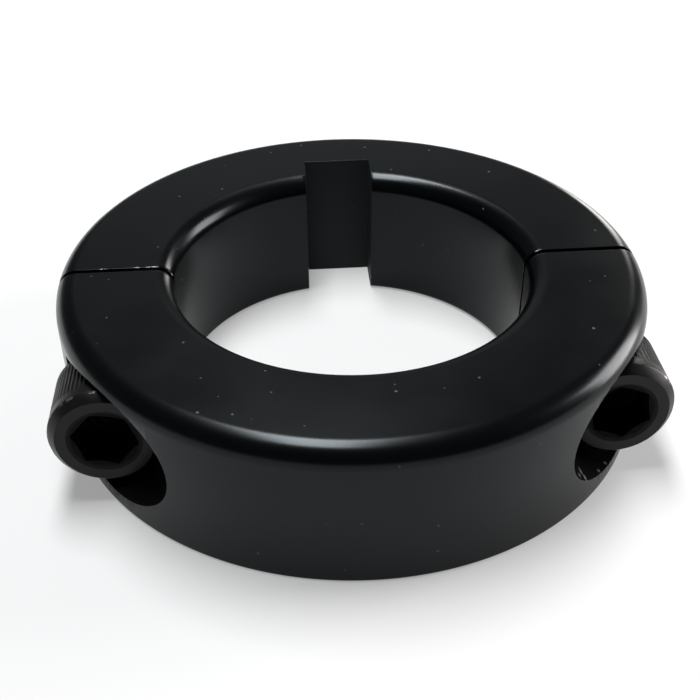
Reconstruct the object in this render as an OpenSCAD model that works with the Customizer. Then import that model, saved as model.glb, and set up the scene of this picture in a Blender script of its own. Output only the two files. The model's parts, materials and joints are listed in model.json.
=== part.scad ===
// Two-piece axle lock collar: a keyed rear half and a clamp half, drawn together by two
// socket head cap screws. Millimetres. The axle runs along Z, the lower side face is at Z = 0,
// the halves part across Y = 0 and the screws enter from -Y.

/* [Collar ring] */
// Diameter of the axle bore
bore_d = 31.75; // [26:0.05:34]
// Outside diameter of the ring
outer_d = 52.4; // [49:0.1:64]
// Width of the ring along the axle
collar_w = 13.2; // [12.4:0.1:20]
// Radius of the rounded outer edge on the upper side
outer_edge_r = 1.8; // [0.4:0.1:2.5]
// Radius of the rounded bore edge on the upper side
bore_edge_r = 1.7; // [0.3:0.1:2.5]
// Radius of the broken outer edge on the lower side
lower_outer_edge_r = 0.25; // [0.1:0.05:1.5]
// Radius of the broken bore edge on the lower side
lower_bore_edge_r = 0.5; // [0.1:0.05:1.5]
// Gap between the two halves as the collar first meets its axle
split_gap = 0.5; // [0.2:0.1:2]

/* [Keyway] */
// Width of the axle key
key_w = 6.35; // [4:0.05:9]
// Free room for the key, both sides together
key_play = 0.3; // [0.02:0.01:0.5]
// Depth of the keyway below the bore wall, on its centre line
key_depth = 3.8; // [1.5:0.1:5]

/* [Cap screws] */
// Diameter of the screw thread
screw_d = 6.35; // [4:0.05:6.6]
// Length of the screw under its head
screw_len = 15.9; // [13:0.1:17]
// Diameter of the screw head
head_d = 9.3; // [8.4:0.1:10.2]
// Height of the screw head
head_h = 6.35; // [4.5:0.05:8]
// Bevel round the top of the head
head_bevel = 0.65; // [0.1:0.05:0.9]
// Radius of the fillet under the head
head_fillet = 0.3; // [0.1:0.05:0.5]
// Width of the hexagon socket across its flats
socket_af = 4.76; // [3:0.01:5.5]
// Depth of the hexagon socket
socket_depth = 3.2; // [2:0.1:4]
// Width of the shallow bevel round the socket's mouth
socket_bevel = 0.7; // [0.1:0.05:0.9]
// Depth of that bevel at the socket's flats
socket_bevel_h = 0.3; // [0.05:0.05:0.6]
// Bevel at the screw's point
point_bevel = 0.7; // [0.2:0.1:1.2]

/* [Screw seats] */
// Distance of each screw outwards from the middle of the ring's wall
screw_shift = 0.25; // [0:0.05:0.6]
// Distance from the split plane to the seat under the head
seat_y = 9.15; // [7:0.05:11]
// Free room round the head in its counterbore, on the radius
head_play = 0.6; // [0.2:0.05:0.8]
// Free room round the screw in the clamp half, on the radius
shank_play = 0.2; // [0.1:0.05:0.4]
// Running clearance of the screw in its tapped hole, on the radius
thread_play = 0.05; // [0.02:0.01:0.1]
// Countersink at the mouth of each tapped hole
tap_bevel = 0.4; // [0.1:0.05:0.8]
// Free room round the fillet under the head
fillet_play = 0.15; // [0.1:0.05:0.3]
// Angle at which the left screw's socket stands
left_turn = 49; // [0:1:60]
// Angle at which the right screw's socket stands
right_turn = 40; // [0:1:60]

/* [Hidden] */
$fn = 96;

bore_r = bore_d / 2;
outer_r = outer_d / 2;
screw_r = screw_d / 2;
head_r = head_d / 2;
screw_x = (bore_r + outer_r) / 2 + screw_shift;
mid_z = collar_w / 2;
keyway_w = key_w + key_play;
keyway_floor = bore_r + key_depth;
socket_circle_d = socket_af / cos(30);
reach = outer_d;
anodised = [0.11, 0.11, 0.12];
oxide = [0.16, 0.16, 0.16];

// Stock outside a round of radius r, for a lower left corner at the origin
module corner_waste(r) {
    difference() {
        translate([-r, -r]) square(2 * r);
        translate([r, r]) circle(r);
    }
}

// Ring section to the right of the axle's line, its upper edges rounded and its lower ones broken
module ring_section() {
    difference() {
        translate([bore_r, 0]) square([outer_r - bore_r, collar_w]);
        translate([bore_r, 0]) corner_waste(lower_bore_edge_r);
        translate([outer_r, 0]) mirror([1, 0]) corner_waste(lower_outer_edge_r);
        translate([bore_r, collar_w]) mirror([0, 1]) corner_waste(bore_edge_r);
        translate([outer_r, collar_w]) rotate(180) corner_waste(outer_edge_r);
    }
}

// Half of the ring on the +Y side, cut back by half the split gap
module half_ring() {
    intersection() {
        rotate_extrude() ring_section();
        translate([-reach, split_gap / 2, -reach]) cube(2 * reach);
    }
}

// Sends what is drawn along +Z out along -Y, on the axis of the screw at x = side * screw_x
module on_screw_axis(side) {
    translate([side * screw_x, 0, mid_z]) rotate([90, 0, 0]) children();
}

// Keyway from the bore out to its floor, open on both side faces
module keyway_cut() {
    translate([-keyway_w / 2, 0, -reach]) cube([keyway_w, keyway_floor, 2 * reach]);
}

// Tapped hole through to the rim, with a countersunk mouth at the split face
module tapped_hole() {
    hole_r = screw_r + thread_play;
    translate([0, 0, -reach]) cylinder(h = reach, r = hole_r);
    translate([0, 0, -split_gap / 2 - tap_bevel])
        cylinder(h = tap_bevel, r1 = hole_r, r2 = hole_r + tap_bevel);
}

// Clearance hole, a countersink for the head's fillet, and the counterbore that opens on the rim
module head_pocket() {
    hole_r = screw_r + shank_play;
    fillet_room = head_fillet + fillet_play;
    cylinder(h = seat_y, r = hole_r);
    translate([0, 0, seat_y - fillet_room])
        cylinder(h = fillet_room, r1 = hole_r, r2 = screw_r + fillet_room + fillet_play);
    translate([0, 0, seat_y]) cylinder(h = reach, r = head_r + head_play);
}

// Half outline of the screw, point at the bottom and head at the top, seat at height 0
module screw_outline() {
    polygon([
        [0, -screw_len],
        [screw_r - point_bevel, -screw_len],
        [screw_r, point_bevel - screw_len],
        for (a = [0:15:90]) [screw_r + head_fillet * (1 - cos(a)), head_fillet * (sin(a) - 1)],
        [head_r, 0],
        [head_r, head_h - head_bevel],
        [head_r - head_bevel, head_h],
        [0, head_h]
    ]);
}

// Cap screw along its own axis; its hexagon socket has a bevelled mouth and a drill cone at its floor
module cap_screw() {
    drill_r = socket_af / 2;
    drill_cone = drill_r * tan(30);
    difference() {
        rotate_extrude() screw_outline();
        translate([0, 0, head_h - socket_depth]) cylinder(h = head_h, d = socket_circle_d, $fn = 6);
        translate([0, 0, head_h - socket_depth - drill_cone])
            cylinder(h = drill_cone, r1 = 0, r2 = drill_r);
        translate([0, 0, head_h - socket_bevel_h])
            cylinder(h = 2 * socket_bevel_h, r1 = drill_r, r2 = drill_r + 2 * socket_bevel);
    }
}

module keyed_half() {
    color(anodised) difference() {
        half_ring();
        keyway_cut();
        for (side = [-1, 1]) on_screw_axis(side) tapped_hole();
    }
}

module clamp_half() {
    color(anodised) difference() {
        rotate(180) half_ring();
        for (side = [-1, 1]) on_screw_axis(side) head_pocket();
    }
}

module left_cap_screw() {
    color(oxide) on_screw_axis(-1) translate([0, 0, seat_y]) rotate(left_turn) cap_screw();
}

module right_cap_screw() {
    color(oxide) on_screw_axis(1) translate([0, 0, seat_y]) rotate(right_turn) cap_screw();
}

keyed_half();
clamp_half();
left_cap_screw();
right_cap_screw();
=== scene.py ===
import json
import math

import bmesh
import bpy
from mathutils import Matrix, Quaternion, Vector


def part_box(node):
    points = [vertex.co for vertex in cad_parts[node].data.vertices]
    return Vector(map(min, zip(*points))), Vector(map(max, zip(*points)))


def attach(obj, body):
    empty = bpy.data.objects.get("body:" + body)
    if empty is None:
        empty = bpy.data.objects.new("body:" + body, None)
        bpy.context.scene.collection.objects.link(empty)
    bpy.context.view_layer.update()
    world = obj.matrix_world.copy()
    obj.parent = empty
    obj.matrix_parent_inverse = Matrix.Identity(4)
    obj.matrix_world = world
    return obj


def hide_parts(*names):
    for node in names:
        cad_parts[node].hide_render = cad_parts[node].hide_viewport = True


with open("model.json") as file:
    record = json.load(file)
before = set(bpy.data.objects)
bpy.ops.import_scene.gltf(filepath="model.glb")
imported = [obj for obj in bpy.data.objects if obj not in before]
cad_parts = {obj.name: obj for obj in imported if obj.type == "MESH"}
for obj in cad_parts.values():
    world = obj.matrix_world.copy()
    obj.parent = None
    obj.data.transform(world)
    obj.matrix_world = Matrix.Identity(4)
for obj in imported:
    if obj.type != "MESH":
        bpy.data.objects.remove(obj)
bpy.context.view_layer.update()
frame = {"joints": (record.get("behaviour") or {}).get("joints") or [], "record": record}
mm = 0.001  # sizes are written in millimetres and drawn in metres
weldDistance = 0.001 * mm  # points closer than this are one
planeDistance = 0.0001 * mm  # and points this close to a cutting plane lie on it
nearly = 0.01 * mm  # slack when faces are picked by where they lie
roundSteps = 96  # sides of a drilled or countersunk hole
smoothAngle = math.radians(25)  # corners past this stay sharp in the shading


def rowNamed(rows, name):
    return next(row for row in rows if row["name"] == name)


# What the frame fixes: ring, bore, split gap, screw seats and thread pitch
record = frame["record"]
boreMount = rowNamed(record["mounts"], "axle_bore")
keyedLow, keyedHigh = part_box("keyed_half")
screwLow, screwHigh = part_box("left_cap_screw")
boreRadius = boreMount["dims"]["r_mm"] * mm
boreBottom = boreMount["pos_m"][2] - boreMount["dims"]["length_mm"] * mm / 2
boreTop = boreMount["pos_m"][2] + boreMount["dims"]["length_mm"] * mm / 2
rimRadius = math.hypot(keyedHigh.x, keyedLow.y)  # the split face's outer corners lie on the rim
ringWidth = keyedHigh.z
splitGap = 2 * keyedLow.y
leftSeat = Vector(rowNamed(frame["joints"], "left_screw_turn")["pos_m"])
rightSeat = Vector(rowNamed(frame["joints"], "right_screw_turn")["pos_m"])
headRadius = (screwHigh.x - screwLow.x) / 2
headHeight = leftSeat.y - screwLow.y
screwLength = screwHigh.y - leftSeat.y
threadPitch = math.tau / record["behaviour"]["couplings"][0]["ratio"]
print("frame: rim radius %.2f mm, bore radius %.2f mm" % (rimRadius / mm, boreRadius / mm))


def onScrewAxis(seat):
    # local +Z runs out of the screw's head, with the seat under the head at 0
    return Matrix.Translation(seat) @ Matrix.Rotation(math.radians(90), 4, "X")


def meshObject(name, bm):
    mesh = bpy.data.meshes.new(name)
    bm.to_mesh(mesh)
    bm.free()
    made = bpy.data.objects.new(name, mesh)
    bpy.context.scene.collection.objects.link(made)
    return made


def closeMesh(bm):
    bmesh.ops.remove_doubles(bm, verts=bm.verts[:], dist=weldDistance)
    bmesh.ops.holes_fill(bm, edges=[edge for edge in bm.edges if edge.is_boundary])
    bmesh.ops.recalc_face_normals(bm, faces=bm.faces[:])


def spinOutline(outline, steps, place=Matrix.Identity(4)):
    # turns an open (radius, height) outline into a closed solid, as on a lathe
    bm = bmesh.new()
    corners = [bm.verts.new((radius, 0, height)) for radius, height in outline]
    for first, second in zip(corners, corners[1:]):
        bm.edges.new((first, second))
    bmesh.ops.spin(
        bm, geom=bm.verts[:] + bm.edges[:], cent=(0, 0, 0), axis=(0, 0, 1),
        angle=math.tau, steps=steps, use_merge=True,
    )
    closeMesh(bm)
    bmesh.ops.transform(bm, matrix=place, verts=bm.verts[:])
    return bm


def cutWith(bm, tools, operation="DIFFERENCE"):
    blank = meshObject("blank", bm)
    cutters = [meshObject("cutter", tool) for tool in tools]
    for cutter in cutters:
        cut = blank.modifiers.new("cut", "BOOLEAN")
        cut.object = cutter
        cut.operation = operation
        cut.solver = "MANIFOLD"
    made = bmesh.new()
    made.from_object(blank, bpy.context.evaluated_depsgraph_get())
    for scrap in [blank] + cutters:
        mesh = scrap.data
        bpy.data.objects.remove(scrap)
        bpy.data.meshes.remove(mesh)
    bmesh.ops.remove_doubles(made, verts=made.verts[:], dist=weldDistance)
    return made


def finishPiece(name, bm, finishes, body):
    piece = meshObject(name + "_visual", bm)
    piece.data.shade_smooth()
    piece.data.set_sharp_from_angle(angle=smoothAngle)
    # weighted by area, so that the narrow broken edges don't shade the wide faces beside them
    weighted = piece.modifiers.new("weighted", "WEIGHTED_NORMAL")
    weighted.keep_sharp = True
    for material in finishes:
        piece.data.materials.append(material)
    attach(piece, body)
    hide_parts(name)
    print("%s: %d faces" % (name, len(piece.data.polygons)))


# Node and colour helpers for the materials
cloudLow, cloudHigh = 0.3, 0.7  # noise levels between which nearly all of a cloud lies


def linear(hexCode):
    shares = [int(hexCode[i:i + 2], 16) / 255 for i in (1, 3, 5)]
    return [s / 12.92 if s <= 0.04045 else ((s + 0.055) / 1.055) ** 2.4 for s in shares] + [1]


def addNode(tree, kind, settings, links):
    node = tree.nodes.new("ShaderNode" + kind)
    for name, value in settings.items():
        setattr(node, name, value)
    for socket, value in links.items():
        if isinstance(value, bpy.types.NodeSocket):
            tree.links.new(value, node.inputs[socket])
        else:
            node.inputs[socket].default_value = value
    return node


def newMaterial(name):
    material = bpy.data.materials.new(name)
    material.use_nodes = True
    material.node_tree.nodes.clear()
    return material, material.node_tree


# Dyed and sealed anodising on turned aluminium: an even satin black with soft highlights,
# faintly cloudy in its gloss, with a few grains of dust, and bare and bright where an edge
# has been knocked
anodised = {
    "dye": "#020303",
    "paleDye": "#040506",
    "bareMetal": "#a9acad",
    "dust": "#4c4e4e",
    "grainSize": 0.12 * mm,
    "grainDepth": 0.002 * mm,
    "grainStrength": 0.5,
    "cloudSize": 7 * mm,
    "dustSpacing": 1.35 * mm,
    "dustSize": (0.06 * mm, 0.17 * mm),
    "dustShare": 0.5,  # of the cells that hold a grain
    "dustRagged": 0.12 * mm,
    "dustHeart": 0.4,  # of a grain's reach, inside which it is at its palest
    "faintestDust": 0.2,
    "wearSize": 0.9 * mm,
    "wornFrom": 0.66,  # noise level past which an edge is bare
    "wornFade": 0.06,
    "roughness": (0.21, 0.27),
    "dustRoughness": 0.9,
    "bareRoughness": 0.5,
    "specular": 0.2,
    "specularTint": "#eff9ff",
    "broachedDye": "#1d1f1f",  # the keyway's walls, scored by the broach
    "broachedRoughness": 0.6,
}


# Knocks: the middle of each one on the collar, how far it reaches each way, in millimetres, and how
# far it is turned about the axle, in degrees
knocks = {
    "grain": 0.3,
    "bareFrom": 0.38,  # noise level past which a knocked spot is bare
    "bareFade": 0.06,
    "solidShare": 0.2,  # of a spot's reach, inside which it is at its strongest
    "spots": {
        "leftSplitOuter": ((-22.1, 0.25, 13.2), (0.4, 0.08, 0.08), 0),
        "leftSplitMiddle": ((-19.1, 0.25, 13.2), (0.35, 0.08, 0.08), 0),
        "leftSplitInner": ((-17.8, 0.25, 13.17), (0.7, 0.1, 0.14), 0),
        "rightSplitInner": ((16.95, 0.25, 13.05), (0.28, 0.08, 0.12), 0),
        "rightPocketScrape": ((17.58, -18.2, 2.9), (0.24, 0.55, 0.24), 15),
        "rightPocketScrapeEnd": ((17.85, -18.75, 2.64), (0.24, 0.5, 0.24), 15),
        "rightPocketLip": ((17.2, -19.2, 3.32), (0.2, 0.4, 0.25), 0),
        "rightPocketSpeck": ((19.6, -16.95, 1.65), (0.18, 0.25, 0.18), 0),
        "rightPocketFarSpeck": ((20.5, -15.8, 1.4), (0.18, 0.25, 0.18), 0),
    },
}


def knockedSpots(tree, place):
    grain = addNode(tree, "TexNoise", {}, {
        "Vector": place, "Scale": 1 / (knocks["grain"] * mm), "Detail": 2})
    ragged = addNode(tree, "MapRange", {}, {
        "Value": grain.outputs["Fac"], "From Min": knocks["bareFrom"],
        "From Max": knocks["bareFrom"] + knocks["bareFade"]})
    spots = 0
    for middle, reach, turn in knocks["spots"].values():
        around = addNode(tree, "Mapping", {"vector_type": "TEXTURE"}, {
            "Vector": place, "Location": Vector(middle) * mm, "Scale": Vector(reach) * mm,
            "Rotation": (0, 0, math.radians(turn))})
        away = addNode(tree, "VectorMath", {"operation": "LENGTH"}, {0: around.outputs["Vector"]})
        spot = addNode(tree, "MapRange", {}, {
            "Value": away.outputs["Value"], "From Min": 1, "From Max": knocks["solidShare"]})
        nearest = addNode(tree, "Math", {"operation": "MAXIMUM"}, {0: spots, 1: spot.outputs["Result"]})
        spots = nearest.outputs[0]
    bared = addNode(tree, "Math", {"operation": "MULTIPLY"}, {0: spots, 1: ragged.outputs["Result"]})
    return bared.outputs[0]


def satinBlackAnodising():
    material, tree = newMaterial("satin_black_anodised_aluminium")
    place = addNode(tree, "TexCoord", {}, {}).outputs["Object"]
    grain = addNode(tree, "TexNoise", {}, {"Vector": place, "Scale": 1 / anodised["grainSize"], "Detail": 2})
    cloud = addNode(tree, "TexNoise", {}, {"Vector": place, "Scale": 1 / anodised["cloudSize"], "Detail": 4})
    dye = addNode(tree, "Mix", {"data_type": "RGBA"}, {
        0: cloud.outputs["Fac"], 6: linear(anodised["dye"]), 7: linear(anodised["paleDye"])})
    low, high = anodised["roughness"]
    gloss = addNode(tree, "MapRange", {}, {
        "Value": cloud.outputs["Fac"], "From Min": cloudLow, "From Max": cloudHigh,
        "To Min": low, "To Max": high})
    # dust: grains of mixed size, in some of the cells of a loose packing
    spacing = anodised["dustSpacing"]
    shake = addNode(tree, "TexNoise", {}, {"Vector": place, "Scale": 1 / anodised["dustRagged"]})
    shaken = addNode(tree, "VectorMath", {"operation": "MULTIPLY_ADD"}, {
        0: shake.outputs["Color"], 1: [anodised["dustRagged"]] * 3, 2: place})
    cells = addNode(tree, "TexVoronoi", {}, {"Vector": shaken.outputs["Vector"], "Scale": 1 / spacing})
    chance = addNode(tree, "SeparateColor", {}, {"Color": cells.outputs["Color"]})
    held = addNode(tree, "Math", {"operation": "LESS_THAN"}, {
        0: chance.outputs["Red"], 1: anodised["dustShare"]})
    smallest, largest = anodised["dustSize"]
    reach = addNode(tree, "MapRange", {}, {
        "Value": chance.outputs["Green"], "To Min": smallest / spacing, "To Max": largest / spacing})
    heart = addNode(tree, "Math", {"operation": "MULTIPLY"}, {
        0: reach.outputs["Result"], 1: anodised["dustHeart"]})
    speck = addNode(tree, "MapRange", {}, {
        "Value": cells.outputs["Distance"], "From Min": reach.outputs["Result"],
        "From Max": heart.outputs[0]})
    paleness = addNode(tree, "MapRange", {}, {
        "Value": chance.outputs["Blue"], "To Min": anodised["faintestDust"], "To Max": 1})
    shown = addNode(tree, "Math", {"operation": "MULTIPLY"}, {
        0: held.outputs[0], 1: paleness.outputs["Result"]})
    dust = addNode(tree, "Math", {"operation": "MULTIPLY"}, {
        0: speck.outputs["Result"], 1: shown.outputs[0]})
    # the broach leaves the keyway greyer and duller than the turned faces
    broached = addNode(tree, "Attribute", {"attribute_name": "broached"}, {}).outputs["Fac"]
    greyer = addNode(tree, "Mix", {"data_type": "RGBA"}, {
        0: broached, 6: dye.outputs[2], 7: linear(anodised["broachedDye"])})
    duller = addNode(tree, "Mix", {}, {
        0: broached, 2: gloss.outputs["Result"], 3: anodised["broachedRoughness"]})
    dusted = addNode(tree, "Mix", {"data_type": "RGBA"}, {
        0: dust.outputs[0], 6: greyer.outputs[2], 7: linear(anodised["dust"])})
    dustyGloss = addNode(tree, "Mix", {}, {
        0: dust.outputs[0], 2: duller.outputs[0], 3: anodised["dustRoughness"]})
    # wear: bare metal in patches along the broken edges, and in the knocked spots
    edge = addNode(tree, "Attribute", {"attribute_name": "brokenEdge"}, {})
    wear = addNode(tree, "TexNoise", {}, {"Vector": place, "Scale": 1 / anodised["wearSize"], "Detail": 3})
    patch = addNode(tree, "MapRange", {}, {
        "Value": wear.outputs["Fac"], "From Min": anodised["wornFrom"],
        "From Max": anodised["wornFrom"] + anodised["wornFade"]})
    worn = addNode(tree, "Math", {"operation": "MULTIPLY"}, {
        0: edge.outputs["Fac"], 1: patch.outputs["Result"]})
    bare = addNode(tree, "Math", {"operation": "MAXIMUM"}, {
        0: worn.outputs[0], 1: knockedSpots(tree, place)})
    colour = addNode(tree, "Mix", {"data_type": "RGBA"}, {
        0: bare.outputs[0], 6: dusted.outputs[2], 7: linear(anodised["bareMetal"])})
    bareGloss = addNode(tree, "Mix", {}, {
        0: bare.outputs[0], 2: dustyGloss.outputs[0], 3: anodised["bareRoughness"]})
    relief = addNode(tree, "Bump", {}, {
        "Height": grain.outputs["Fac"], "Distance": anodised["grainDepth"],
        "Strength": anodised["grainStrength"]})
    skin = addNode(tree, "BsdfPrincipled", {}, {
        "Base Color": colour.outputs[2], "Metallic": bare.outputs[0],
        "Roughness": bareGloss.outputs[0], "Specular IOR Level": anodised["specular"],
        "Specular Tint": linear(anodised["specularTint"]), "Normal": relief.outputs["Normal"]})
    addNode(tree, "OutputMaterial", {}, {"Surface": skin.outputs["BSDF"]})
    return material


# Black oxide on alloy steel: a thin, slightly oily conversion coat, a little browner and rougher
# than the collar, with steel showing where the head's rim is rubbed
oxide = {
    "coat": "#080808",
    "paleCoat": "#0d0d0c",
    "bareSteel": "#77756f",
    "cloudSize": 2.5 * mm,
    "grainSize": 0.15 * mm,
    "grainDepth": 0.006 * mm,
    "grainStrength": 0.6,
    "rubSize": 0.7 * mm,
    "rubbedFrom": 0.58,  # noise level past which the rim is rubbed
    "rubbedFade": 0.1,
    "roughness": (0.32, 0.44),
    "specular": 0.21,
}


def blackOxide():
    material, tree = newMaterial("black_oxide_steel")
    place = addNode(tree, "TexCoord", {}, {}).outputs["Object"]
    grain = addNode(tree, "TexNoise", {}, {"Vector": place, "Scale": 1 / oxide["grainSize"], "Detail": 3})
    cloud = addNode(tree, "TexNoise", {}, {"Vector": place, "Scale": 1 / oxide["cloudSize"], "Detail": 4})
    coat = addNode(tree, "Mix", {"data_type": "RGBA"}, {
        0: cloud.outputs["Fac"], 6: linear(oxide["coat"]), 7: linear(oxide["paleCoat"])})
    low, high = oxide["roughness"]
    gloss = addNode(tree, "MapRange", {}, {
        "Value": cloud.outputs["Fac"], "From Min": cloudLow, "From Max": cloudHigh,
        "To Min": low, "To Max": high})
    # rubbed steel in patches along the rim of the head
    edge = addNode(tree, "Attribute", {"attribute_name": "brokenEdge"}, {})
    rub = addNode(tree, "TexNoise", {}, {"Vector": place, "Scale": 1 / oxide["rubSize"], "Detail": 3})
    patch = addNode(tree, "MapRange", {}, {
        "Value": rub.outputs["Fac"], "From Min": oxide["rubbedFrom"],
        "From Max": oxide["rubbedFrom"] + oxide["rubbedFade"]})
    bare = addNode(tree, "Math", {"operation": "MULTIPLY"}, {
        0: edge.outputs["Fac"], 1: patch.outputs["Result"]})
    colour = addNode(tree, "Mix", {"data_type": "RGBA"}, {
        0: bare.outputs[0], 6: coat.outputs[2], 7: linear(oxide["bareSteel"])})
    relief = addNode(tree, "Bump", {}, {
        "Height": grain.outputs["Fac"], "Distance": oxide["grainDepth"], "Strength": oxide["grainStrength"]})
    skin = addNode(tree, "BsdfPrincipled", {}, {
        "Base Color": colour.outputs[2], "Metallic": bare.outputs[0], "Roughness": gloss.outputs["Result"],
        "Specular IOR Level": oxide["specular"], "Normal": relief.outputs["Normal"]})
    addNode(tree, "OutputMaterial", {}, {"Surface": skin.outputs["BSDF"]})
    return material


# Painted shade deep in the holes, pockets and sockets: a near-black colour over the fine feed marks of the
# drill and the broach, so matt that it gives no glint back; a lighter painted shade on a socket's mouth
shadeInHollows = {
    # painted shade: the near-black that stands in for the shade deep in the hollows
    "paintedDark": ("#0a0a0a", "#161616"),
    # a lighter painted shade for the bevel round a socket's mouth
    "paintedMouthDark": ("#1c1c1c", "#292928"),
    "feedMark": 0.3 * mm,
    "feedMarkDepth": 0.01 * mm,
    "bareMetal": "#6a6c6d",
}


# the painted shade of a hollow: a dark colour with no glint over feed-mark bumps, with the knocked spots as
# real wear
def paintedShadeFinish(name, shades):
    material, tree = newMaterial(name)
    place = addNode(tree, "TexCoord", {}, {}).outputs["Object"]
    bandsAtUnitScale = 20 / math.tau  # in a metre of Blender's wave texture
    rings = addNode(tree, "TexWave", {"bands_direction": "Y"}, {
        "Vector": place, "Scale": 1 / (bandsAtUnitScale * shadeInHollows["feedMark"]), "Distortion": 2, "Detail": 2})
    paintedDark = addNode(tree, "Mix", {"data_type": "RGBA"}, {
        0: rings.outputs["Fac"], 6: linear(shades[0]), 7: linear(shades[1])})
    colour = addNode(tree, "Mix", {"data_type": "RGBA"}, {
        0: knockedSpots(tree, place), 6: paintedDark.outputs[2], 7: linear(shadeInHollows["bareMetal"])})
    relief = addNode(tree, "Bump", {}, {"Height": rings.outputs["Fac"], "Distance": shadeInHollows["feedMarkDepth"]})
    skin = addNode(tree, "BsdfPrincipled", {}, {
        "Base Color": colour.outputs[2], "Roughness": 1, "Specular IOR Level": 0,
        "Normal": relief.outputs["Normal"]})
    addNode(tree, "OutputMaterial", {}, {"Surface": skin.outputs["BSDF"]})
    return material


collarFinish = satinBlackAnodising()
screwFinish = blackOxide()
# painted shade for the holes, pockets and deep socket walls
shadedHollowFinish = paintedShadeFinish("painted_shade_machined_hollow", shadeInHollows["paintedDark"])
# and a lighter painted shade for the socket mouths
shadedMouthFinish = paintedShadeFinish("painted_shade_socket_mouth", shadeInHollows["paintedMouthDark"])
print("materials: 4")


# Thread: one pitch of the profile is wound up the axis, then cut square at both ends
thread = {
    "rootFlat": 0.25,  # shares of the pitch
    "crestFlat": 0.125,
    "stepsPerTurn": 40,
    "screwRoot": 2.62 * mm,
    "screwCrest": 3.14 * mm,
    "holeRoot": 2.70 * mm,
    "holeCrest": 3.21 * mm,
    "weld": 0.002 * mm,  # joins one turn to the next
}


def threadedRod(root, crest, bottom, top, place=Matrix.Identity(4)):
    flank = (1 - thread["rootFlat"] - thread["crestFlat"]) / 2
    crestStart = thread["rootFlat"] + flank
    shares = [(root, 0), (root, thread["rootFlat"]), (crest, crestStart),
              (crest, crestStart + thread["crestFlat"]), (root, 1)]
    firstTurn = math.floor(bottom / threadPitch) - 1
    turns = math.ceil(top / threadPitch) + 1 - firstTurn
    bm = bmesh.new()
    corners = [bm.verts.new((radius, 0, (firstTurn + share) * threadPitch)) for radius, share in shares]
    for first, second in zip(corners, corners[1:]):
        bm.edges.new((first, second))
    bmesh.ops.spin(
        bm, geom=bm.verts[:] + bm.edges[:], cent=(0, 0, 0), axis=(0, 0, 1),
        dvec=(0, 0, threadPitch / thread["stepsPerTurn"]),
        angle=math.tau * turns, steps=thread["stepsPerTurn"] * turns,
    )
    bmesh.ops.remove_doubles(bm, verts=bm.verts[:], dist=thread["weld"])
    for height, outward in ((bottom, -1), (top, 1)):
        bmesh.ops.bisect_plane(
            bm, geom=bm.verts[:] + bm.edges[:] + bm.faces[:], dist=planeDistance,
            plane_co=(0, 0, height), plane_no=(0, 0, outward), clear_outer=True,
        )
    closeMesh(bm)
    bmesh.ops.transform(bm, matrix=place, verts=bm.verts[:])
    return bm


# Collar halves: a rounded section spun round the axle's line and cut back at the split
collar = {
    "upperRimEdge": 1.8 * mm,
    "lowerRimEdge": 0.25 * mm,
    "upperBoreEdge": ringWidth - boreTop,
    "lowerBoreEdge": boreBottom,
    "edgeSteps": 12,
    "ringSteps": 240,
    "brokenEdge": 0.05 * mm,
    "brokenSteps": 2,
    "tooShort": 0.03 * mm,  # shorter edges at a corner are closed up before it is broken
    "sharpAngle": 32,  # degrees, past which an edge was broken with a file
    "keywayWidth": 6.65 * mm,
    "keywayFloor": 19.675 * mm,
    "pocketRadius": headRadius + 0.6 * mm,
    "clearanceRadius": 3.375 * mm,
    "seatBevel": 0.45 * mm,
    "tapBevel": 0.4 * mm,
    "pastSplit": mm,  # how far the tools run out beyond the split face
}


def halfRing(side):
    bm = bmesh.new()
    startTurn = Matrix.Rotation(-math.pi / collar["ringSteps"], 4, "Z")  # no column of faces on the split
    corners = [bm.verts.new(startTurn @ Vector((radius, 0, height)))
               for height in (0, ringWidth) for radius in (boreRadius, rimRadius)]
    bm.faces.new([corners[i] for i in (0, 1, 3, 2)])
    edges = ("lowerBoreEdge", "lowerRimEdge", "upperBoreEdge", "upperRimEdge")
    for corner, edge in zip(corners, edges):
        bmesh.ops.bevel(
            bm, geom=[corner], offset=collar[edge], affect="VERTICES", segments=collar["edgeSteps"],
            profile=0.5, material=-1,
        )
    bmesh.ops.delete(bm, geom=bm.faces[:], context="FACES_ONLY")
    bmesh.ops.spin(
        bm, geom=bm.verts[:] + bm.edges[:], cent=(0, 0, 0), axis=(0, 0, 1),
        angle=math.tau, steps=collar["ringSteps"], use_merge=True,
    )
    bmesh.ops.bisect_plane(
        bm, geom=bm.verts[:] + bm.edges[:] + bm.faces[:], dist=planeDistance,
        plane_co=(0, side * splitGap / 2, 0), plane_no=(0, -side, 0), clear_outer=True,
    )
    closeMesh(bm)
    return bm


def breakEdges(bm):
    # a light file pass along every outer corner, and a face mark that the finish reads for its wear
    def sharpEdges():
        limit = math.radians(collar["sharpAngle"])
        return [edge for edge in bm.edges if edge.is_manifold and edge.calc_face_angle_signed(0) > limit]

    mark = bm.faces.layers.float.new("brokenEdge")
    corners = {vert for edge in sharpEdges() for vert in edge.verts}
    bmesh.ops.remove_doubles(bm, verts=list(corners), dist=collar["tooShort"])
    made = bmesh.ops.bevel(
        bm, geom=sharpEdges(), offset=collar["brokenEdge"], affect="EDGES",
        segments=collar["brokenSteps"], profile=0.5, material=-1, clamp_overlap=False,
    )
    for face in made["faces"]:
        face[mark] = 1
        face.material_index = 0


def markPaintedShade(bm, seat, radius, nearest=-rimRadius, deepest=rimRadius):
    # gives the faces round a screw's axis the painted shade of the hollows, the second finish on every piece
    for face in bm.faces:
        inside = [math.hypot(vert.co.x - seat.x, vert.co.z - seat.z) < radius + nearly
                  and nearest < vert.co.y < deepest for vert in face.verts]
        if all(inside):
            face.material_index = 1


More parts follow.
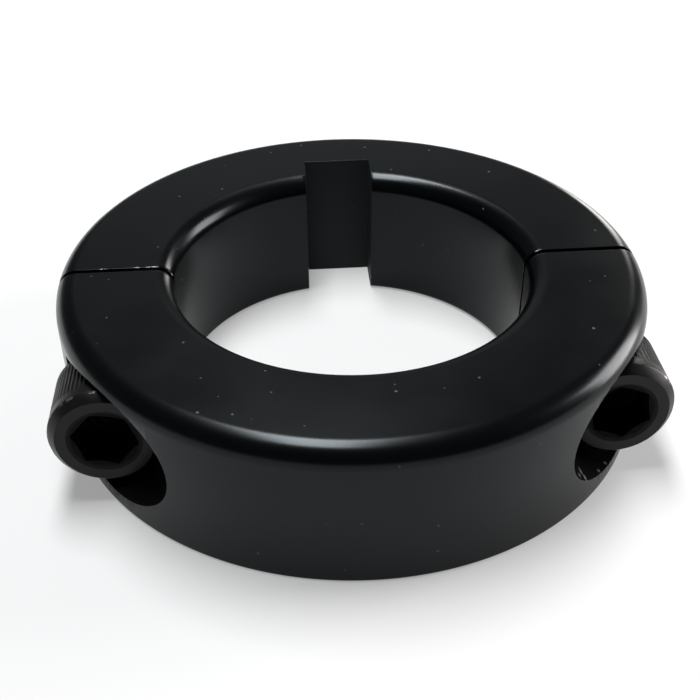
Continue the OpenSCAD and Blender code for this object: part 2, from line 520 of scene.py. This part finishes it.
def markKeyway(bm):
    # a face mark on the keyway's floor and sides, which the finish reads as broached
    mark = bm.faces.layers.float.new("broached")
    halfWidth = collar["keywayWidth"] / 2 + weldDistance
    floor = collar["keywayFloor"] + weldDistance
    for face in bm.faces:
        if all(abs(vert.co.x) < halfWidth and boreRadius / 2 < vert.co.y < floor for vert in face.verts):
            face[mark] = 1


def keyedHalf():
    bm = halfRing(1)
    keyway = bmesh.new()
    bmesh.ops.create_cube(keyway, size=1)
    size = (collar["keywayWidth"], collar["keywayFloor"], 2 * ringWidth)
    middle = (0, collar["keywayFloor"] / 2, ringWidth / 2)
    bmesh.ops.scale(keyway, vec=size, verts=keyway.verts[:])
    bmesh.ops.translate(keyway, vec=middle, verts=keyway.verts[:])
    bm = cutWith(bm, [keyway])
    markKeyway(bm)
    breakEdges(bm)
    splitFace = leftSeat.y - splitGap / 2  # its height on the screw's own axis
    tools = []
    for seat in (leftSeat, rightSeat):
        place = onScrewAxis(seat)
        top = splitFace + collar["pastSplit"]
        tools.append(threadedRod(
            thread["holeRoot"], thread["holeCrest"], splitFace - rimRadius, top, place))
        bevel = collar["tapBevel"]
        mouth = thread["holeCrest"] + bevel
        tools.append(spinOutline(
            [(mouth - 2 * bevel, splitFace - 2 * bevel), (mouth, splitFace), (mouth, top)],
            roundSteps, place))
    bm = cutWith(bm, tools)
    # painted shade in the tapped holes
    for seat in (leftSeat, rightSeat):
        markPaintedShade(bm, seat, thread["holeCrest"])
    return bm


def clampHalf():
    bm = halfRing(-1)
    tools = []
    for seat in (leftSeat, rightSeat):
        clearance, pocket, bevel = collar["clearanceRadius"], collar["pocketRadius"], collar["seatBevel"]
        tools.append(spinOutline(
            [(clearance, seat.y - collar["pastSplit"]), (clearance, -bevel), (clearance + bevel, 0),
             (pocket, 0), (pocket, rimRadius)],
            roundSteps, onScrewAxis(seat)))
    bm = cutWith(bm, tools)
    # painted shade in the counterbored pockets
    for seat in (leftSeat, rightSeat):
        markPaintedShade(bm, seat, collar["pocketRadius"])
    breakEdges(bm)
    return bm


collarFinishes = (collarFinish, shadedHollowFinish)
finishPiece("keyed_half", keyedHalf(), collarFinishes, "keyed_half")
finishPiece("clamp_half", clampHalf(), collarFinishes, "clamp_half")


# Socket head cap screws: turned blank, rolled thread, straight knurl and a broached socket
capScrew = {
    "rimBevel": 0.65 * mm,
    "wornEdge": 0.09 * mm,
    "seatBevel": 0.2 * mm,
    "neckRadius": 2.6 * mm,
    "neckLength": 1.1 * mm,
    "fillet": 0.3 * mm,
    "pointBevel": 0.7 * mm,
    "knurlRidges": 72,
    "knurlDepth": 0.085 * mm,
    "knurlBottom": 0.7 * mm,
    "knurlTop": 4.5 * mm,
    "knurlFade": 0.35 * mm,
    "socketFlats": 4.76 * mm,
    "socketDepth": 3.2 * mm,
    "socketBevel": 0.69 * mm,
    "socketBevelDepth": 0.3 * mm,
    # deeper than this the socket's walls take the painted shade
    "socketLit": 0.8 * mm,  # how far in the walls still show
    "drillSteps": 48,
    "drillLean": 30,  # degrees, of the cone at the socket's floor
    "drillTop": 0.2 * mm,  # how far the drill's cylinder stands up into the socket
    "leftTurn": 49,  # degrees, how each socket stands
    "rightTurn": 40,
}


def capScrewMesh(socketTurn, seat):
    size = capScrew
    fillet = [(size["neckRadius"] + size["fillet"] * (1 - math.cos(turn)),
               size["fillet"] * (math.sin(turn) - 1))
              for turn in (math.radians(angle) for angle in (90, 60, 30, 0))]
    outline = [
        (headRadius - size["rimBevel"], headHeight),
        (headRadius - size["wornEdge"], headHeight - size["rimBevel"] + size["wornEdge"]),
        (headRadius, headHeight - size["rimBevel"] - size["wornEdge"]),
        (headRadius, size["knurlTop"] + size["knurlFade"]),
        (headRadius, size["knurlTop"]),
        (headRadius, size["knurlBottom"]),
        (headRadius, size["knurlBottom"] - size["knurlFade"]),
        (headRadius, size["seatBevel"]),
        (headRadius - size["seatBevel"], 0),
        *fillet,
        (size["neckRadius"], -size["neckLength"]),
    ]
    bm = spinOutline(outline, 2 * size["knurlRidges"])
    # every second column of the knurled band is rolled in
    for vert in bm.verts:
        onBand = min(abs(vert.co.z - size["knurlTop"]), abs(vert.co.z - size["knurlBottom"])) < nearly
        column = round(math.atan2(vert.co.y, vert.co.x) / math.tau * 2 * size["knurlRidges"])
        if onBand and column % 2:
            vert.co.xy *= 1 - size["knurlDepth"] / headRadius
    rod = threadedRod(thread["screwRoot"], thread["screwCrest"], -screwLength, -size["neckLength"] / 2)
    for vert in rod.verts:
        reach = thread["screwCrest"] - size["pointBevel"] + (vert.co.z + screwLength)
        if vert.co.xy.length > reach:
            vert.co.xy *= reach / vert.co.xy.length
    bm = cutWith(bm, [rod], "UNION")
    corner = size["socketFlats"] / 2 / math.cos(math.radians(30))
    flat = size["socketFlats"] / 2
    floor = headHeight - size["socketDepth"]
    # create_cone puts a corner of the hexagon on Y, and the socket's turn is counted from X
    socketPlace = Matrix.Rotation(math.radians(socketTurn + 30), 4, "Z")
    hexagon = bmesh.new()
    bmesh.ops.create_cone(
        hexagon, cap_ends=True, segments=6, radius1=corner, radius2=corner, depth=2 * size["socketDepth"],
        matrix=Matrix.Translation((0, 0, headHeight)) @ socketPlace,
    )
    # cut across at socketLit, so that the socket's deeper walls can take the painted shade
    bmesh.ops.bisect_plane(
        hexagon, geom=hexagon.verts[:] + hexagon.edges[:] + hexagon.faces[:], dist=planeDistance,
        plane_co=(0, 0, headHeight - size["socketLit"]), plane_no=(0, 0, 1),
    )
    drillPoint = floor - flat * math.tan(math.radians(size["drillLean"]))
    drill = spinOutline(
        [(0, drillPoint), (flat, floor), (flat, floor + size["drillTop"])], size["drillSteps"])
    mouth = spinOutline([
        (flat - 2 * size["socketBevel"], headHeight - 3 * size["socketBevelDepth"]),
        (flat + 2 * size["socketBevel"], headHeight + size["socketBevelDepth"])], roundSteps)
    bm = cutWith(bm, [hexagon, drill, mouth])
    worn = bm.faces.layers.float.new("brokenEdge")
    facetHeight = headHeight - size["rimBevel"]
    for face in bm.faces:
        if max(abs(vert.co.z - facetHeight) for vert in face.verts) < size["wornEdge"] + nearly:
            face[worn] = 1
    bmesh.ops.transform(bm, matrix=onScrewAxis(seat), verts=bm.verts[:])
    bm.normal_update()
    mouthTop = seat.y - headHeight
    # painted shade on the socket's walls deeper than socketLit
    markPaintedShade(bm, seat, corner, mouthTop + size["socketLit"] - nearly, seat.y)
    # the bevel round the socket's mouth, known by its lean, has the third finish, a lighter painted shade
    bevelLean = math.atan2(size["socketBevelDepth"], size["socketBevel"])
    leanSlack = 0.02
    bevelled = [face for face in bm.faces if abs(face.normal.y + math.cos(bevelLean)) < leanSlack]
    for face in bevelled:
        if face.calc_center_median().y < mouthTop + size["socketBevelDepth"]:
            face.material_index = 2
    return bm


screwFinishes = (screwFinish, shadedHollowFinish, shadedMouthFinish)
finishPiece("left_cap_screw", capScrewMesh(capScrew["leftTurn"], leftSeat), screwFinishes,
            "left_screw")
finishPiece("right_cap_screw", capScrewMesh(capScrew["rightTurn"], rightSeat), screwFinishes,
            "right_screw")


# Studio: pale floor, a softbox overhead with a faint panel behind it, a window at the right, a narrow
# one at the back and a dim room, brighter at the back
studio = {
    "floorSize": 4,
    "floorColour": "#acacac",
    "floorGlow": 0.32,
    "floorDrop": 0.02 * mm,
    "roomColour": "#f2f9ff",
    "roomLevel": 0.075,
    "backLevel": 0.3,
    "backAzimuth": 90,
    "backElevation": 21,
    "backCore": 6,  # degrees from its middle, full level inside
    "backReach": 22,  # and the room's level outside
    "backdropLevel": 0.38,  # what a low camera sees past the floor
}


def direction(azimuth, elevation):
    # azimuth 0 is at the right of the photo, 90 behind the collar
    turn, lift = math.radians(azimuth), math.radians(elevation)
    return Vector((math.cos(turn) * math.cos(lift), math.sin(turn) * math.cos(lift), math.sin(lift)))


floorMesh = bmesh.new()
bmesh.ops.create_grid(floorMesh, x_segments=1, y_segments=1, size=studio["floorSize"])
bmesh.ops.translate(floorMesh, vec=(0, 0, -studio["floorDrop"]), verts=floorMesh.verts[:])
floor = meshObject("floor", floorMesh)
# milk-white acrylic, lit a little from below, so that shadows on it stay faint
acrylic, tree = newMaterial("frosted_white_acrylic")
sheet = addNode(tree, "BsdfPrincipled", {}, {
    "Base Color": linear(studio["floorColour"]), "Roughness": 1, "Specular IOR Level": 0,
    "Emission Color": (1, 1, 1, 1), "Emission Strength": studio["floorGlow"]})
addNode(tree, "OutputMaterial", {}, {"Surface": sheet.outputs["BSDF"]})
floor.data.materials.append(acrylic)

# the wall behind the collar is lighter than the rest of the room
world = bpy.data.worlds.new("studio")
bpy.context.scene.world = world
world.use_nodes = True
world.node_tree.nodes.clear()
tree = world.node_tree
look = addNode(tree, "TexCoord", {}, {})
facing = addNode(tree, "VectorMath", {"operation": "DOT_PRODUCT"}, {
    0: look.outputs["Generated"], 1: direction(studio["backAzimuth"], studio["backElevation"])})
level = addNode(tree, "MapRange", {"interpolation_type": "SMOOTHSTEP"}, {
    "Value": facing.outputs["Value"], "From Min": math.cos(math.radians(studio["backReach"])),
    "From Max": math.cos(math.radians(studio["backCore"])), "To Min": studio["roomLevel"],
    "To Max": studio["backLevel"]})
# and a low camera sees a plain pale backdrop there, which lights nothing
seen = addNode(tree, "LightPath", {}, {}).outputs["Is Camera Ray"]
shown = addNode(tree, "Mix", {}, {0: seen, 2: level.outputs["Result"], 3: studio["backdropLevel"]})
tint = addNode(tree, "Mix", {"data_type": "RGBA"}, {
    0: seen, 6: linear(studio["roomColour"]), 7: (1, 1, 1, 1)})
sky = addNode(tree, "Background", {}, {"Color": tint.outputs[2], "Strength": shown.outputs[0]})
addNode(tree, "OutputWorld", {}, {"Surface": sky.outputs["Background"]})


def softbox(name, azimuth, elevation, distance, width, height, power, colour, roll=0):
    towards = direction(azimuth, elevation)
    lamp = bpy.data.lights.new(name, "AREA")
    lamp.shape = "RECTANGLE"
    lamp.size = width
    lamp.size_y = height
    lamp.energy = power
    lamp.color = linear(colour)[:3]
    made = bpy.data.objects.new(name, lamp)
    made.location = towards * distance
    rolled = Quaternion((0, 0, 1), math.radians(roll))
    made.rotation_euler = (towards.to_track_quat("Z", "Y") @ rolled).to_euler()
    bpy.context.scene.collection.objects.link(made)


softbox("overhead", azimuth=116, elevation=78, distance=0.45, width=0.11, height=0.33, power=3.2,
        colour="#fdfeff", roll=-34)
softbox("right_window", azimuth=12, elevation=15, distance=0.5, width=0.225, height=0.31, power=3.1,
        colour="#fdf8f7")
softbox("back_window", azimuth=60, elevation=10.5, distance=0.5, width=0.085, height=0.175, power=0.4,
        colour="#fffaf4")
softbox("back_panel", azimuth=89, elevation=48, distance=0.5, width=0.09, height=0.07, power=0.03,
        colour="#fdfeff")
print("studio: 4 softboxes")

# Camera at the photo's height and turn, with its strong close-up perspective
view = {
    "elevation": 36.25,
    "turn": -4.45,
    "roll": -0.22,
    "distance": 102.5 * mm,
    "aimRight": -0.15 * mm,
    "aimUp": -2.8 * mm,
    "lens": 56.5,
    "sensor": 36,
}
camera = bpy.data.cameras.new("camera")
camera.lens = view["lens"]
camera.sensor_width = view["sensor"]
camera.clip_start = mm
cameraObject = bpy.data.objects.new("camera", camera)
turned = Matrix.Rotation(math.radians(view["turn"]), 4, "Z")
tilted = Matrix.Rotation(math.radians(90 - view["elevation"]), 4, "X")
rolled = Matrix.Rotation(math.radians(view["roll"]), 4, "Z")
middle = Matrix.Translation((0, 0, ringWidth / 2))
offset = Matrix.Translation((view["aimRight"], view["aimUp"], view["distance"]))
cameraObject.matrix_world = middle @ turned @ tilted @ rolled @ offset
bpy.context.scene.collection.objects.link(cameraObject)
bpy.context.scene.camera = cameraObject
bpy.context.scene.view_settings.view_transform = "Standard"
print("camera: lens %.1f mm, %.1f mm away" % (view["lens"], view["distance"] / mm))
